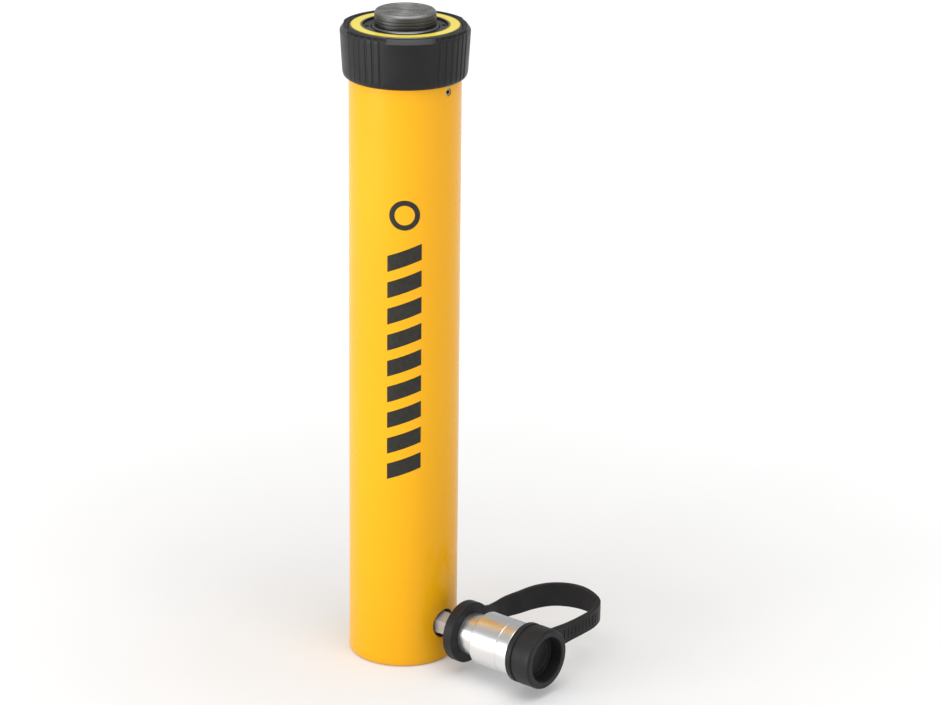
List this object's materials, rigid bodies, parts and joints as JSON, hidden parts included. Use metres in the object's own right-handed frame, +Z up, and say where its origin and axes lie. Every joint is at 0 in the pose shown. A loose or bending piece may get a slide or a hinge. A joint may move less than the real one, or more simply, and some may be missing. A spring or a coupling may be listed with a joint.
{
  "type": "single-acting hydraulic cylinder",
  "caption": "Spring-return hydraulic ram with a painted steel barrel, saddle, collar protector and a side coupler under a tethered dust cap.",
  "frame": {"origin": "centre of the base face, on the plunger's axis, where the cylinder stands", "axes": "+Z up along the plunger's axis towards the saddle; +X out along the hose coupler; the cap's strap loops to +Y"},
  "size_m": [0.1602, 0.1159, 0.4249],
  "materials": {
    "body_paint": "glossy yellow enamel",
    "gland_steel": "dark turned steel",
    "bronze": "bronze bearing, satin",
    "seal_rubber": "black rubber",
    "zinc_screw": "zinc plated",
    "dark_screw": "black oxide",
    "copper": "copper, satin",
    "inner_steel": "turned steel",
    "spring_steel": "oiled spring steel",
    "rod_chrome": "hard chrome, ground",
    "ring_plastic": "filled bearing plastic",
    "lip_seal": "blue seal elastomer",
    "backup_plastic": "natural plastic",
    "saddle_steel": "hardened dark steel with turned grooves",
    "protector_plastic": "black moulded plastic",
    "neck_steel": "zinc plated",
    "coupler_plate": "bright nickel plate over turned steel",
    "cap_rubber": "soft black moulding"
  },
  "bodies": {
    "barrel": {"barrel": "body_paint", "stop_ring": "gland_steel", "rod_bearing": "bronze", "rod_wiper": "seal_rubber", "gland_set_screw": "zinc_screw", "anchor_screw": "dark_screw", "sealing_washer": "copper", "spring_anchor_lower": "inner_steel", "return_spring": "spring_steel", "coupler_neck": "neck_steel", "coupler_sleeve": "coupler_plate", "coupler_nose": "coupler_plate", "valve_seat": "inner_steel", "coupler_seal": "seal_rubber", "spring_guide": "inner_steel", "valve_spring": "spring_steel", "strap_ring": "cap_rubber", "cap_strap": "cap_rubber"},
    "plunger": {"plunger": "rod_chrome", "wear_ring": "ring_plastic", "piston_seal": "lip_seal", "backup_ring": "backup_plastic", "spring_anchor_upper": "inner_steel"},
    "saddle_retainer": {"saddle_retaining_ring": "spring_steel"},
    "saddle": {"saddle": "saddle_steel"},
    "thread_protector": {"thread_protector": "protector_plastic"},
    "dust_cap": {"dust_cap": "cap_rubber"},
    "valve_poppet": {"valve_poppet": "inner_steel"}
  },
  "joints": [
    {"name": "plunger_stroke", "type": "slide", "parent": "barrel", "child": "plunger", "axis": [0, 0, 1], "range_m": [0, 0.305], "stiffness_N_per_m": 800, "springref_m": -0.17, "deforming": ["return_spring"]},
    {"name": "saddle_lift", "type": "slide", "parent": "plunger", "child": "saddle_retainer", "axis": [0, 0, 1], "range_m": [0, 0.035]},
    {"name": "saddle_spin", "type": "hinge", "parent": "saddle_retainer", "child": "saddle", "pos_m": [0, 0, 0.4157], "axis": [0, 0, 1], "continuous": true},
    {"name": "protector_lift", "type": "slide", "parent": "barrel", "child": "thread_protector", "axis": [0, 0, 1], "range_m": [0, 0.045]},
    {"name": "cap_pull", "type": "slide", "parent": "barrel", "child": "dust_cap", "axis": [1, 0, 0], "range_m": [0, 0.03], "deforming": ["cap_strap"]},
    {"name": "valve_push", "type": "slide", "parent": "barrel", "child": "valve_poppet", "axis": [-1, 0, 0], "range_m": [0, 0.004], "stiffness_N_per_m": 2000, "springref_m": -0.003, "deforming": ["valve_spring"]}
  ]
}
